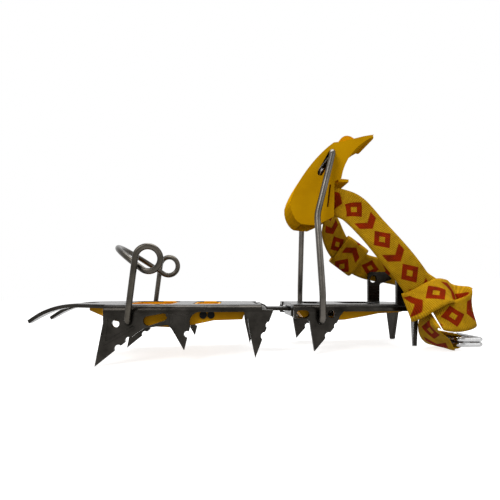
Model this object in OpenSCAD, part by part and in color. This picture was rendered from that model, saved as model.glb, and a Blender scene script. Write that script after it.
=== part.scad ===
// Twelve-point crampon: two pressed steel sections with down-turned points, joined by a
// sliding link bar, with a coiled wire toe bail, a wire heel bail, a moulded heel lever,
// moulded anti-balling plates and a webbing ankle strap.
// The modules work in the boot-sole frame (x to the heel, y across, z up from the sole);
// stance() then tips that frame so that the points stand on level ground.

/* [Stance] */
// Heel-down tip of the sole plane when the points stand on level ground, in degrees
stance_tilt = 2.65; // [0:0.05:5]

/* [Sheet steel] */
// Thickness of the pressed frames
sheet_t = 3; // [2.5:0.25:3.5]
// Outside radius of the bend between flange and side wall
bend_r = 6; // [5:0.5:7]
// Width of the flat flange along each rail, measured from the outer face
flange_w = 15; // [13:0.5:18]
// Depth of the rail where it carries no point
rail_h = 5.6; // [5:0.2:7]

/* [Front section] */
// Half width over the side walls at the second and third rows of points
front_half_w = 44; // [40:0.5:48]
// Half width over the side walls at the rear of the front section
waist_half_w = 37; // [34:0.5:40]
// Front edge of the side walls
front_edge_x = -97; // [-100:0.5:-94]
// Where the rail turns in towards the waist
corner_x = -18; // [-22:0.5:-16]
// Rear edge of the top plate
front_plate_rear_x = 22; // [20:0.5:24]
// Tip of the second-row points along the section
row2_x = -103.5; // [-106:0.5:-100]
// Depth of the second-row points below the sole
row2_depth = 47.6; // [44:0.2:50]
// Tip of the third-row points along the section
row3_x = -34.6; // [-37:0.2:-33]
// Depth of the third-row points below the sole
row3_depth = 35; // [31:0.5:37]
// Tip of the fourth-row points along the section
row4_x = 20.6; // [18:0.2:23]
// Depth of the fourth-row points below the sole
row4_depth = 41.8; // [39:0.2:44]
// Front edge of the plate, where the front points begin
toe_plate_x = -126; // [-130:0.5:-122]
// Distance of each front point from the centreline
front_point_y = 18; // [16:0.5:20]
// Width of a front point at its root
front_point_w = 15; // [12:0.5:17]
// Bend radius of the front points, on the upper face
front_point_r = 70; // [60:1:90]
// Angle that the front points turn down
front_point_angle = 31; // [26:0.5:34]
// Straight length at the end of each front point
front_point_end = 8; // [5:0.5:12]

/* [Heel section] */
// Front edge of the heel section
heel_x = 51; // [50:0.5:54]
// Half width over the side walls at the front of the heel section
heel_half_w = 39; // [37:0.5:42]
// Half width over the side walls at the rear of the heel section
heel_rear_half_w = 33; // [31:0.5:35]
// Rear end of the side walls
heel_rear_x = 147; // [145:0.5:150]
// Tip of the front heel points along the section
heel_point_x = 67.3; // [65:0.2:69]
// Depth of the front heel points below the sole
heel_point_depth = 36.8; // [33:0.2:37.6]
// Depth of the rear heel points below the sole
rear_point_depth = 35.6; // [33:0.2:38]
// Width of a rear heel point at its root
rear_point_w = 13; // [10:0.5:15]
// Angle that the rear points are turned outwards
rear_point_turn = 15; // [10:1:25]
// Height of the heel ears above the sole
ear_h = 28.7; // [24:0.5:32]
// Length of an ear along the rail
ear_l = 11; // [9:0.5:13]
// Hole in each ear
ear_hole_d = 7; // [5:0.25:8]

/* [Toe bail] */
// Wire diameter of the toe bail
toe_wire_d = 4.8; // [4:0.1:5.2]
// Pivot hole along the section
toe_pivot_x = -77.4; // [-79:0.2:-76]
// Pivot hole below the sole
toe_pivot_depth = 13.25; // [12.5:0.25:15]
// Step from the pivot hole to the spare hole ahead of it
toe_hole_step = 10; // [9:0.25:11]
// Drop of the spare hole below the pivot hole
toe_hole_drop = 1.2; // [0:0.1:1.5]
// Straight length of a leg
toe_leg_l = 46; // [40:0.5:55]
// Backward lean of the legs, in degrees
toe_leg_lean = 7.4; // [4:0.2:12]
// Mean radius of the loop in each leg
loop_r = 9.4; // [8.5:0.1:11]
// Sideways slant of the loop, in degrees, which carries the wire past itself
loop_slant = 10.5; // [10:0.1:13]
// Second part of the loop's turn, after its first half turn, in degrees
loop_turn = 117.5; // [105:0.5:125]

/* [Heel bail] */
// Wire diameter of the heel bail
heel_wire_d = 5; // [4.4:0.1:5.4]
// Pivot hole along the section
heel_pivot_x = 72.4; // [71:0.2:74]
// Pivot hole below the sole
heel_pivot_depth = 13; // [12:0.25:14]
// Height at which the legs begin to lean inwards
heel_leg_z = 8; // [4:0.5:14]
// Height of the knee above the sole
heel_knee_z = 72; // [66:0.5:78]
// Distance of the knees from the centreline
heel_knee_y = 30; // [27:0.5:33]
// Step from the pivot hole back to the spare hole behind it
heel_hole_step = 8.6; // [8:0.2:10]
// Rise of the spare hole above the pivot hole
heel_hole_rise = 5.4; // [5:0.1:5.8]

/* [Heel lever] */
// Lever pivot along the crampon
lever_pivot_x = 86.7; // [84:0.2:89]
// Lever pivot above the sole
lever_pivot_z = 127.3; // [122:0.5:132]
// Half width of the lever over its cheeks
lever_half_w = 17; // [15:0.5:19]
// Thickness of a cheek
cheek_t = 4; // [3:0.25:5]
// Length of the wire slot in each cheek
lever_slot_l = 19; // [14:0.5:22]

/* [Link bar] */
// Hinge of the link bar along the crampon
link_x = 28; // [27:0.25:30]
// Hinge of the link bar below the sole
link_depth = 5; // [4.8:0.1:5.6]
// Diameter of the hinge pin
link_pin_d = 5; // [4:0.25:5.5]
// Width of the bar
bar_w = 20; // [16:0.5:22]
// Thickness of the bar
bar_t = 3; // [2.5:0.25:3]
// Rear end of the bar
bar_end_x = 140; // [136:1:144]
// Diameter of the adjustment holes
bar_hole_d = 5.2; // [4.8:0.1:5.6]
// Pitch of the adjustment holes
bar_hole_pitch = 10; // [8:0.5:12]

/* [Ankle strap] */
// Width of the webbing
strap_w = 24; // [20:0.5:25]
// Thickness of the webbing
strap_t = 1.6; // [1.2:0.1:2]
// Wire diameter of the two rings
ring_wire_d = 3.4; // [3:0.1:4]

/* [Clearances] */
// Radial running clearance of the wire hooks and the link pin
run_gap = 0.08; // [0.05:0.01:0.1]
// Gap between neighbouring pieces that don't bear on each other
side_gap = 0.4; // [0.3:0.05:0.6]

/* [Hidden] */
$fn = 64;

steel = "#5d5a57";
wire_grey = "#8a8783";
yellow = "#d9a51c";
webbing = "#d8b02a";

spare_hole_r = 3;
toe_r = toe_wire_d / 2;
heel_r = heel_wire_d / 2;
wall_depth = 70;
waist_turn = atan((front_half_w - waist_half_w) / (row4_x + 14 - corner_x));
heel_turn = atan((heel_half_w - heel_rear_half_w) / (heel_rear_x - heel_x));

// Vector helpers
function unit(v) = v / norm(v);
function square_to(t, n) = unit(n - (n * t) * t);
function between(p, q, s) = p + (q - p) * s;
function spline(p0, p1, p2, p3, u) =
    0.5 * (2 * p1 + (p2 - p0) * u + (2 * p0 - 5 * p1 + 4 * p2 - p3) * u * u
    + (3 * p1 - p0 - 3 * p2 + p3) * u * u * u);
function bezier(a, b, c, d, n) =
    [for (i = [0 : n]) let (u = i / n, v = 1 - u)
        v * v * v * a + 3 * v * v * u * b + 3 * v * u * u * c + u * u * u * d];

// A half outline that starts and ends on the centreline, closed over its mirror image
function mirrored(half) = concat(half,
    [for (i = [len(half) - 2 : -1 : 1]) [half[i][0], -half[i][1]]]);

// Half width over the front side walls at a place along the waist
function waist_y(x) = front_half_w - max(0, x - corner_x) * tan(waist_turn);
// Half width over the heel side walls
function heel_y(x) = heel_half_w - (x - heel_x) * tan(heel_turn);

module stance() {
    rotate([0, stance_tilt, 0]) children();
}

module both_sides() {
    children();
    mirror([0, 1, 0]) children();
}

// A flat outline in x and z, made into a slab across y
module side_slab(y0, y1) {
    translate([0, y1, 0]) rotate([90, 0, 0]) linear_extrude(y1 - y0) children();
}

// Section of a rail: flange, bend and side wall, with its outer face at y = 0
module rail_section() {
    translate([-flange_w, -sheet_t]) square([flange_w - bend_r, sheet_t]);
    intersection() {
        translate([-bend_r, -bend_r]) difference() {
            circle(bend_r);
            circle(bend_r - sheet_t);
        }
        translate([-bend_r, -bend_r]) square(bend_r);
    }
    translate([-sheet_t, -wall_depth]) square([sheet_t, wall_depth - bend_r]);
}

// A rail that starts at [x, y] and runs for a length, turned inwards by an angle
module rail(x, y, turn, length, lead) {
    translate([x, y, 0]) rotate([0, 0, -turn]) translate([-lead, 0, 0])
        rotate([90, 0, 90]) linear_extrude(length + lead) rail_section();
}

module disc_at(p, r) {
    translate(p) circle(r);
}

// A slot with round ends from p to q
module round_slot(p, q, r0, r1) {
    along = unit(q - p);
    taper = (r0 - r1) / norm(q - p);
    out = [-along[1], along[0]] * sqrt(1 - taper * taper);
    left = along * taper + out;
    right = along * taper - out;
    disc_at(p, r0);
    disc_at(q, r1);
    polygon([p + left * r0, q + left * r1, q + right * r1, p + right * r0]);
}

module round_rect(x0, x1, half_y, r) {
    for (sy = [-1, 1], x = [x0 + r, x1 - r]) disc_at([x, sy * (half_y - r)], r);
    translate([x0 + r, -half_y]) square([x1 - x0 - 2 * r, 2 * half_y]);
    translate([x0, r - half_y]) square([x1 - x0, 2 * half_y - 2 * r]);
}

// Wire drawn as straight runs and arcs, with a bead a hair fuller than the wire where they meet
weld_bead = 0.012;
// A step is [length] for a straight run, or [radius, towards, angle] for an arc
function arc_to(p, t, n, r, a) = p + r * n * (1 - cos(a)) + r * t * sin(a);
function step_end(s, step) = len(step) == 1
    ? [s[0] + s[1] * step[0], s[1]]
    : let (n = square_to(s[1], step[1]))
        [arc_to(s[0], s[1], n, step[0], step[2]), s[1] * cos(step[2]) + n * sin(step[2])];
function walk(s, steps, i = 0) = i == len(steps) ? s : walk(step_end(s, steps[i]), steps, i + 1);
function turn_angle(t, d) = acos(t * d);
function corner_cut(r, t, d) = r * tan(turn_angle(t, d) / 2);

module in_axes(x, y, z, p) {
    multmatrix([
        [x[0], y[0], z[0], p[0]],
        [x[1], y[1], z[1], p[1]],
        [x[2], y[2], z[2], p[2]],
        [0, 0, 0, 1]]) children();
}

module wire_step(s, step, r) {
    t = s[1];
    if (len(step) == 1) {
        n = square_to(t, abs(t[0]) < 0.7 ? [1, 0, 0] : [0, 1, 0]);
        in_axes(n, cross(t, n), t, s[0]) cylinder(h = step[0], r = r);
    } else {
        n = square_to(t, step[1]);
        in_axes(-n, t, cross(-n, t), s[0] + step[0] * n)
            rotate_extrude(angle = step[2]) translate([step[0], 0]) circle(r);
    }
}

module wire(s, steps, r, i = 0) {
    if (i < len(steps)) {
        if (i > 0) translate(s[0]) sphere(r + weld_bead);
        wire_step(s, steps[i], r);
        wire(step_end(s, steps[i]), steps, r, i + 1);
    }
}

// Points along a wire, for measuring its gap to itself
function step_points(s, step) = len(step) == 1
    ? [for (u = [0 : 3 : step[0]]) s[0] + s[1] * u]
    : let (n = square_to(s[1], step[1]))
        [for (a = [0 : 8 : step[2]]) arc_to(s[0], s[1], n, step[0], a)];
function wire_points(s, steps, i = 0) = i == len(steps) ? []
    : concat(step_points(s, steps[i]), wire_points(step_end(s, steps[i]), steps, i + 1));
function own_gap(points, skip, d) =
    min([for (i = [0 : len(points) - 1 - skip]) min([for (j = [i + skip : len(points) - 1])
        norm(points[i] - points[j])])]) - d;

// Front section
row2_tip = [row2_x, -row2_depth];
row2_rear = [toe_pivot_x + 5, -toe_pivot_depth - 9.5];
row3_tip = [row3_x, -row3_depth];
row3_rear = [row3_x + 4.6, -17];
row3_arch_r = 8;
row3_arch = [row3_rear[0] + row3_arch_r - 0.4, -rail_h - row3_arch_r + 0.2];
row4_tip = [row4_x, -row4_depth];
row4_rear = [row4_x + 14.6, -4.4];
strut_z = -17;
window_front = [toe_pivot_x + 15, -12.4];
window_rear = [row3_x - 16, -9.4];

// Side view of the straight part of the front rail, with the second and third points
module front_wall_view() {
    difference() {
        polygon([
            [front_edge_x, 1], [corner_x + 1, 1], [corner_x + 1, -rail_h], [row3_arch[0], -rail_h],
            row3_arch, row3_rear, row3_tip, [row3_x - 9.6, -18.5], [row3_x - 12.5, strut_z + 1.6],
            [toe_pivot_x + 12, strut_z - 1.2], row2_rear, row2_tip,
            [front_edge_x - 2.4, -26], [front_edge_x, -14]]);
        disc_at(row3_arch, row3_arch_r);
        disc_at([row3_x + 2.5, -22.8], 2.6);
        disc_at(between(row2_tip, row2_rear, 0.57) + [0.6, -0.8], 3.5);
        disc_at(between(row2_tip, row2_rear, 0.83) + [0.6, -0.8], 3.1);
        round_slot(window_front, window_rear, 3.7, 2.9);
        disc_at([toe_pivot_x, -toe_pivot_depth], toe_r + run_gap);
        disc_at([toe_pivot_x - toe_hole_step, -toe_pivot_depth - toe_hole_drop], spare_hole_r);
    }
}

// Side view of the waisted part of the front rail, with the fourth point
module waist_wall_view() {
    difference() {
        polygon([
            [corner_x - 1, 1], [front_plate_rear_x + 4, 1], [front_plate_rear_x + 4, -4], row4_rear,
            row4_tip, [row4_x - 4.6, -21], [row4_x - 5.8, -11], [row4_x - 9, -rail_h],
            [corner_x - 1, -rail_h]]);
        disc_at(between(row4_tip, row4_rear, 0.46) + [1.2, -0.4], 3.4);
        disc_at(between(row4_tip, row4_rear, 0.69) + [1.2, -0.4], 2.9);
    }
}

// The raised V pressed into the outer face of a second-row point
rib_r = 1.2;
rib_low = [front_edge_x + 0.6, -30];

module point_rib() {
    side_slab(front_half_w - 1, front_half_w + 0.7) {
        round_slot(rib_low, [front_edge_x + 2.8, -12.5], rib_r, rib_r);
        round_slot(rib_low, [toe_pivot_x + 3.6, -toe_pivot_depth - 4.2], rib_r, rib_r);
    }
}

// Two T-shaped ribs over a third-row point
tee_x = [row3_x - 10, row3_x + 1.5];

module tee_ribs() {
    side_slab(front_half_w - 1, front_half_w + 0.7) for (x = tee_x) {
        round_slot([x - 3, -8], [x + 3, -8], 1, 1);
        round_slot([x, -8], [x, -14], 1, 1);
    }
}

// A front point: a flat blade that turns down from the plate
function blade_arc(r, n) = [for (i = [0 : n]) let (a = front_point_angle * i / n)
    [toe_plate_x - r * sin(a), r * cos(a) - front_point_r]];

module front_point() {
    tip_w = 3.6;
    root_x = toe_plate_x + 6;
    r_in = front_point_r - sheet_t;
    run = front_point_end * [-cos(front_point_angle), -sin(front_point_angle)];
    upper = blade_arc(front_point_r, 12);
    lower = blade_arc(r_in, 12);
    end_x = (upper[12] + run)[0] - 2;
    blade = concat([[root_x, 0]], upper, [upper[12] + run, lower[12] + run],
        [for (i = [12 : -1 : 0]) lower[i]], [[root_x, -sheet_t]]);
    shoulder_x = between(toe_plate_x, end_x, 0.7);
    intersection() {
        side_slab(-front_point_w, front_point_w) polygon(blade);
        translate([0, 0, -front_point_r]) linear_extrude(2 * front_point_r)
            polygon([[root_x, front_point_w / 2], [toe_plate_x, front_point_w / 2],
                [shoulder_x, front_point_w / 3], [end_x, tip_w / 2], [end_x, -tip_w / 2],
                [shoulder_x, -front_point_w / 3], [toe_plate_x, -front_point_w / 2],
                [root_x, -front_point_w / 2]]);
    }
}

// Openings of the front plate, through which the anti-balling plate clips
toe_open = [front_edge_x + 10, row3_x - 12];
mid_open = [row3_x + 4, -7];
toe_open_y = front_half_w - flange_w;
mid_open_y = waist_half_w - flange_w + 4;
open_r = 6;

module front_plate_plan() {
    edge_y = front_half_w - bend_r;
    outer_y = front_point_y + front_point_w / 2 + 1;
    half = [[toe_plate_x + 9, 0], [toe_plate_x + 7, front_point_y - front_point_w / 2 - 3],
        [toe_plate_x, front_point_y - front_point_w / 2 - 1], [toe_plate_x, outer_y],
        [toe_plate_x + 9, outer_y + 4], [front_edge_x - 6, edge_y - 3], [front_edge_x, edge_y],
        [corner_x, edge_y], [front_plate_rear_x, waist_y(front_plate_rear_x) - bend_r - 1],
        [front_plate_rear_x, 0]];
    difference() {
        polygon(mirrored(half));
        round_rect(toe_open[0], toe_open[1], toe_open_y, open_r);
        round_rect(mid_open[0], mid_open[1], mid_open_y, open_r);
    }
}

// Lugs under the rear of the front plate that hold the link pin
lug_y = bar_w / 2 + 4;
lug_t = sheet_t;
lug_r = link_depth - 0.4;

module link_lug() {
    side_slab(lug_y - lug_t / 2, lug_y + lug_t / 2) difference() {
        union() {
            disc_at([link_x, -link_depth], lug_r);
            polygon([[link_x - 13.6, -sheet_t + 0.5], [front_plate_rear_x, -0.6],
                [link_x, -link_depth + lug_r], [link_x, -link_depth - lug_r],
                [link_x - 10, -link_depth - lug_r]]);
        }
        disc_at([link_x, -link_depth], link_pin_d / 2 + 0.02);
    }
}

module front_frame() {
    color(steel) stance() {
        both_sides() {
            intersection() {
                rail(front_edge_x, front_half_w, 0, corner_x - front_edge_x + 2, 12);
                side_slab(0, 2 * front_half_w) front_wall_view();
            }
            intersection() {
                rail(corner_x, front_half_w, waist_turn, row4_rear[0] - corner_x + 4, 2);
                side_slab(0, 2 * front_half_w) waist_wall_view();
            }
            point_rib();
            tee_ribs();
            translate([0, front_point_y, 0]) front_point();
            link_lug();
        }
        translate([0, 0, -sheet_t]) linear_extrude(sheet_t) front_plate_plan();
    }
}

// Anti-balling plates: moulded dishes that hang under the frames
dish_t = 2.2;
skirt_gap = 2.2;
dish_top = -sheet_t - side_gap;
front_dish_line = [[toe_plate_x + 10, dish_top - dish_t], [front_edge_x - 4, -10], [toe_pivot_x + 4, -16.5],
    [row3_x - 9, -18], [row3_x + 8, -15.5], [corner_x + 6, -12.5], [row4_x - 10, -12],
    [row4_x - 7.5, dish_top - dish_t]];
heel_dish_line = [[heel_x + 4.5, dish_top - dish_t], [heel_x + 9, -11], [heel_x + 22, -13.4],
    [heel_x + 42, -12.6], [heel_x + 58, -10], [heel_x + 70, -7.6], [heel_rear_x - 8, -6.6],
    [heel_rear_x - 4, dish_top - dish_t]];

// Outline under a dish line, closed along the top
module dish_side(line, lift, end_in) {
    first = line[0];
    last = line[len(line) - 1];
    polygon(concat([for (p = line) p + [p == first ? end_in : p == last ? -end_in : 0, lift]],
        [[last[0] - end_in, dish_top + 1], [first[0] + end_in, dish_top + 1]]));
}

module front_dish_plan(inset) {
    y0 = front_half_w - sheet_t - skirt_gap - inset;
    half = [[toe_plate_x + 4, 0], [toe_plate_x + 10, front_point_y + 4 - inset],
        [front_edge_x - 6, y0 - 9], [front_edge_x + 2, y0], [corner_x, y0],
        [row4_x, waist_y(row4_x) - sheet_t - skirt_gap - inset], [row4_x, 0]];
    polygon(mirrored(half));
}

module heel_dish_plan(inset) {
    half = [[heel_x + 2, 0], [heel_x + 2, heel_y(heel_x + 2) - sheet_t - skirt_gap - inset],
        [heel_rear_x, heel_y(heel_rear_x) - sheet_t - skirt_gap - inset], [heel_rear_x, 0]];
    polygon(mirrored(half));
}

// A dish with its floor and skirt, hollow above
module dish(line) {
    difference() {
        intersection() {
            side_slab(-front_half_w, front_half_w) dish_side(line, 0, 0);
            translate([0, 0, -wall_depth]) linear_extrude(wall_depth + dish_top) children(0);
        }
        intersection() {
            side_slab(-front_half_w, front_half_w) dish_side(line, dish_t, dish_t);
            translate([0, 0, -wall_depth]) linear_extrude(wall_depth + 1) children(1);
        }
    }
}

// Lip that stands up through a frame opening, with its two clip lugs
module clip_lip(x0, x1, half_y, r, floor_z) {
    lip_t = 2;
    lug_l = 12;
    gap = side_gap + 0.2;
    translate([0, 0, floor_z]) linear_extrude(-0.5 - floor_z) difference() {
        round_rect(x0 + gap, x1 - gap, half_y - gap, r - gap);
        round_rect(x0 + gap + lip_t, x1 - gap - lip_t, half_y - gap - lip_t, r - gap - lip_t);
    }
    for (sy = [-1, 1])
        translate([x1 - lug_l - 5, sy * (half_y - gap - lip_t / 2), -1]) rotate([0, 90, 0])
            cylinder(h = lug_l, r = lip_t / 2 + 0.2);
}

// Everything under a dish line, shifted up into the thickness of the floor
module below_dish(line) {
    side_slab(-front_half_w, front_half_w) polygon(concat(
        [for (p = line) p + [0, 0.5]],
        [[line[len(line) - 1][0] + 40, -wall_depth], [line[0][0] - 40, -wall_depth]]));
}

// Skirt face of the front plate, which carries the studs
stud_r = 2.9;
stud_shank_r = 1.45;
stud_z = -rail_h - 2.6;
stud_x = [corner_x - 2.2, corner_x + 3.8];
function skirt_y(x) = waist_y(x) - sheet_t - skirt_gap;

module stud_row(r, y0, y1) {
    for (x = stud_x) translate([x, skirt_y(x), stud_z]) rotate([0, 0, x > corner_x ? -waist_turn : 0])
        translate([0, y1, 0]) rotate([90, 0, 0]) cylinder(h = y1 - y0, r = r);
}

// Room in a plate for the hooked ends of a bail, inside the wall at a place
module hook_room(at, r) {
    both_sides() translate(at) rotate([90, 0, 0]) cylinder(h = sheet_t + 6, r = r + 0.8);
}

module front_anti_balling_plate() {
    color(yellow) stance() difference() {
        union() {
            dish(front_dish_line) {
                front_dish_plan(0);
                front_dish_plan(dish_t);
            }
            difference() {
                union() {
                    clip_lip(toe_open[0], toe_open[1], toe_open_y, open_r, -18);
                    clip_lip(mid_open[0], mid_open[1], mid_open_y, open_r, -18);
                }
                below_dish(front_dish_line);
            }
        }
        both_sides() stud_row(stud_shank_r + 0.05, -dish_t - 1, 1);
        hook_room([toe_pivot_x, front_half_w, -toe_pivot_depth], toe_r);
    }
}

module plate_studs() {
    color("#1c1c1c") stance() both_sides() {
        stud_row(stud_r, 0.02, 0.95);
        stud_row(stud_shank_r, -dish_t - 0.6, 0.2);
    }
}

// Link between the sections
bar_top = -link_depth + bar_t / 2;
bar_low = -link_depth - bar_t / 2;
eye_w = 2 * (lug_y - lug_t / 2 - side_gap);
pin_r = link_pin_d / 2;
stud_hole_x = heel_x + 15;

module link_pin() {
    reach = lug_y + lug_t / 2;
    color(wire_grey) stance() translate([link_x, 0, -link_depth]) rotate([90, 0, 0]) {
        cylinder(h = 2 * reach + 0.6, r = pin_r, center = true);
        for (s = [-1, 1]) translate([0, 0, s * (reach + 0.8)])
            cylinder(h = 1.5, r = pin_r + 1, center = true);
    }
}

module link_bar() {
    color(steel) stance() difference() {
        union() {
            translate([link_x, 0, -link_depth]) rotate([90, 0, 0])
                cylinder(h = eye_w, r = lug_r - 0.4, center = true);
            translate([link_x, -bar_w / 2, bar_low]) cube([bar_end_x - bar_w / 2 - link_x, bar_w, bar_t]);
            translate([bar_end_x - bar_w / 2, 0, bar_low]) cylinder(h = bar_t, r = bar_w / 2);
        }
        translate([link_x, 0, -link_depth]) rotate([90, 0, 0])
            cylinder(h = eye_w + 2, r = pin_r + run_gap, center = true);
        for (i = [-1 : 5]) translate([stud_hole_x + i * bar_hole_pitch, 0, bar_low - 1])
            cylinder(h = bar_t + 2, r = bar_hole_d / 2);
    }
}

// Heel section
heel_tip = [heel_point_x, -heel_point_depth];
heel_edge = [heel_point_x + 17, -16.8];
guide_x = heel_x + 37;
guide_foot_z = bar_low - 5.2;
foot_t = 2.5;
rivet_x = [guide_x - 8.5, guide_x - 3.5];
rivet_r = 1.4;
ear_x = heel_rear_x - ear_l - 0.2;
ear_y = heel_y(ear_x) - bend_r + 2.6;
window_lift = 16;
rear_point = [heel_rear_x + 10, heel_rear_half_w - 13];

module heel_wall_view() {
    difference() {
        polygon([
            [heel_x, 1], [heel_rear_x, 1], [heel_rear_x, -rail_h], [heel_point_x + 23.5, -rail_h],
            [heel_point_x + 20.5, -9], heel_edge, heel_tip, [heel_point_x - 2.5, -22.5],
            [heel_point_x - 3.9, -13.4], [heel_point_x - 6, -11.6], [heel_x, -11]]);
        disc_at(between(heel_tip, heel_edge, 0.62) + [0.8, -0.5], 3);
        disc_at(heel_edge + [1.2, -0.2], 2.5);
        disc_at([heel_pivot_x, -heel_pivot_depth], heel_r + run_gap);
        disc_at([heel_pivot_x + heel_hole_step, -heel_pivot_depth + heel_hole_rise], spare_hole_r);
    }
}

// Window punched through the bend of a heel rail, square to the bend
module bend_window() {
    translate([heel_x + 7, heel_y(heel_x + 7) - bend_r, -bend_r]) rotate([90 + window_lift, 0, 180])
        translate([0, 0, bend_r - sheet_t - 1.6]) linear_extrude(sheet_t + 4)
            round_slot([-2.2, 0], [2.2, 0], 3, 3);
}

module heel_plate_plan() {
    half = [[heel_x + 1, 0], [heel_x + 1, heel_y(heel_x + 1) - bend_r],
        [heel_rear_x - 3, heel_rear_half_w - bend_r], [heel_rear_x, rear_point[1] - 3],
        [heel_rear_x + 2, rear_point[1] - 8], [heel_rear_x + 2.5, 0]];
    difference() {
        polygon(mirrored(half));
        round_rect(heel_x + 13, guide_x - 6, heel_half_w - flange_w - 2, open_r);
        round_rect(guide_x + 10, heel_rear_x - 19, heel_rear_half_w - flange_w + 1, open_r);
    }
}

// A rear point, bent down from the end of the plate and turned outwards
module rear_heel_point() {
    w = rear_point_w / 2;
    translate([rear_point[0], rear_point[1], 0]) rotate([0, 0, rear_point_turn - 90]) intersection() {
        translate([-w, 0, 0]) rotate([90, 0, 90]) linear_extrude(2 * w) rail_section();
        side_slab(-2 * flange_w, 1) {
            polygon([[-w, 1], [w, 1], [w, -10], [2.6, -rear_point_depth + 5],
                [1.8, -rear_point_depth + 1.8], [-1.8, -rear_point_depth + 1.8],
                [-2.6, -rear_point_depth + 5], [-w, -10]]);
            disc_at([0, -rear_point_depth + 2.2], 2.2);
        }
    }
}

module heel_ear() {
    top = ear_h;
    side_slab(ear_y - sheet_t, ear_y) difference() {
        polygon([[ear_x, -1.5], [ear_x, top - 2], [ear_x + 2, top], [ear_x + 16, top],
            [ear_x + 22.6, top - 6], [ear_x + 22.6, top - 7.2], [ear_x + ear_l + 0.8, top - 11.5],
            [ear_x + ear_l, top - 13], [ear_x + ear_l, -1.5]]);
        disc_at([ear_x + 4.9, top - 6.9], ear_hole_d / 2);
    }
}

// A plate across the section, slotted for the link bar
module bar_guide(x, half_y, low) {
    difference() {
        translate([x, -half_y, low]) cube([sheet_t, 2 * half_y, -0.5 - low]);
        translate([x - 1, -bar_w / 2 - side_gap, bar_low - side_gap])
            cube([sheet_t + 2, bar_w + 2 * side_gap, bar_t + 2 * side_gap]);
    }
}

module rivet_holes(r) {
    for (x = rivet_x) translate([x, 0, -20]) cylinder(h = 14, r = r);
}

module heel_frame() {
    color(steel) stance() {
        both_sides() {
            difference() {
                intersection() {
                    rail(heel_x, heel_half_w, heel_turn, heel_rear_x - heel_x + 4, 2);
                    side_slab(0, 2 * heel_half_w) heel_wall_view();
                }
                bend_window();
            }
            rear_heel_point();
            heel_ear();
        }
        translate([0, 0, -sheet_t]) linear_extrude(sheet_t) heel_plate_plan();
        bar_guide(heel_x + 1.5, bar_w / 2 + 7, -11);
        bar_guide(guide_x, bar_w / 2 + 5, guide_foot_z);
        difference() {
            translate([guide_x - 11.5, -7, guide_foot_z]) cube([12, 14, foot_t]);
            rivet_holes(rivet_r + 0.05);
        }
    }
}

module heel_anti_balling_plate() {
    channel = bar_w / 2 + 6;
    color(yellow) stance() difference() {
        dish(heel_dish_line) {
            heel_dish_plan(0);
            heel_dish_plan(dish_t);
        }
        translate([heel_x - 10, -channel, -40]) cube([guide_x + 12 - heel_x + 10, 2 * channel, 40]);
        translate([heel_x + 58, -bar_w / 2 - 1.5, -40]) cube([60, bar_w + 3, 40]);
        hook_room([heel_pivot_x, heel_y(heel_pivot_x), -heel_pivot_depth], heel_r);
        hook_room([heel_pivot_x + heel_hole_step, heel_y(heel_pivot_x), -heel_pivot_depth + heel_hole_rise],
            spare_hole_r);
    }
}

// Leaf spring whose stud drops into a hole of the link bar
leaf_t = 1.2;
leaf_top = bar_low - 1;

module adjuster_spring() {
    low = leaf_top - leaf_t;
    color(wire_grey) stance() difference() {
        union() {
            side_slab(-6, 6) polygon([
                [guide_x - 0.8, leaf_top], [heel_x + 10.2, leaf_top], [heel_x + 6.2, leaf_top - 6],
                [heel_x + 7.4, leaf_top - 6.8], [heel_x + 11, low], [guide_x - 0.8, low]]);
            translate([stud_hole_x, 0, leaf_top - 0.2]) cylinder(h = bar_t - 0.2, r = bar_hole_d / 2 - 0.4);
            translate([stud_hole_x, 0, leaf_top + bar_t - 0.4])
                cylinder(h = 0.8, r1 = bar_hole_d / 2 - 0.4, r2 = bar_hole_d / 2 - 1.2);
        }
        rivet_holes(rivet_r + 0.05);
    }
}

module adjuster_rivets() {
    color(wire_grey) stance() for (x = rivet_x) translate([x, 0, 0]) {
        translate([0, 0, guide_foot_z - 1]) cylinder(h = leaf_top - guide_foot_z + 1.4, r = rivet_r);
        translate([0, 0, guide_foot_z - 1.1]) cylinder(h = 1.08, r = rivet_r + 1);
        translate([0, 0, leaf_top + 0.02]) cylinder(h = 0.5, r = rivet_r + 0.8);
    }
}

// Toe bail: hook, leg, loop and a crossbar shared by both sides
toe_bend_r = 4.2;
toe_up = [sin(toe_leg_lean), 0, cos(toe_leg_lean)];
toe_back = [cos(toe_leg_lean), 0, -sin(toe_leg_lean)];
toe_hook_in = 4;
toe_start = [[toe_pivot_x, -(front_half_w - sheet_t - toe_hook_in), -toe_pivot_depth], [0, -1, 0]];
toe_steps = [
    [sheet_t + toe_hook_in + side_gap],
    [toe_bend_r, toe_up, 90],
    [toe_leg_l],
    [loop_r, toe_back * cos(loop_slant) + [0, sin(loop_slant), 0], 180],
    [loop_r, [0, sin(loop_slant), 0] - toe_back * cos(loop_slant), loop_turn]];
toe_bar_start = walk(toe_start, toe_steps);
toe_bar_half = turn_angle(toe_bar_start[1], [0, 1, 0]);
toe_bar_step = [-toe_bar_start[0][1] / sin(toe_bar_half), [0, 1, 0], 2 * toe_bar_half];
echo("toe bail least gap to itself", own_gap(wire_points(toe_start, concat(toe_steps, [toe_bar_step])),
    20, toe_wire_d));

module toe_bail() {
    color(wire_grey) stance() {
        both_sides() {
            wire(toe_start, toe_steps, toe_r);
            translate(toe_bar_start[0]) sphere(toe_r + weld_bead);
        }
        wire_step(toe_bar_start, toe_bar_step, toe_r);
    }
}

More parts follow.
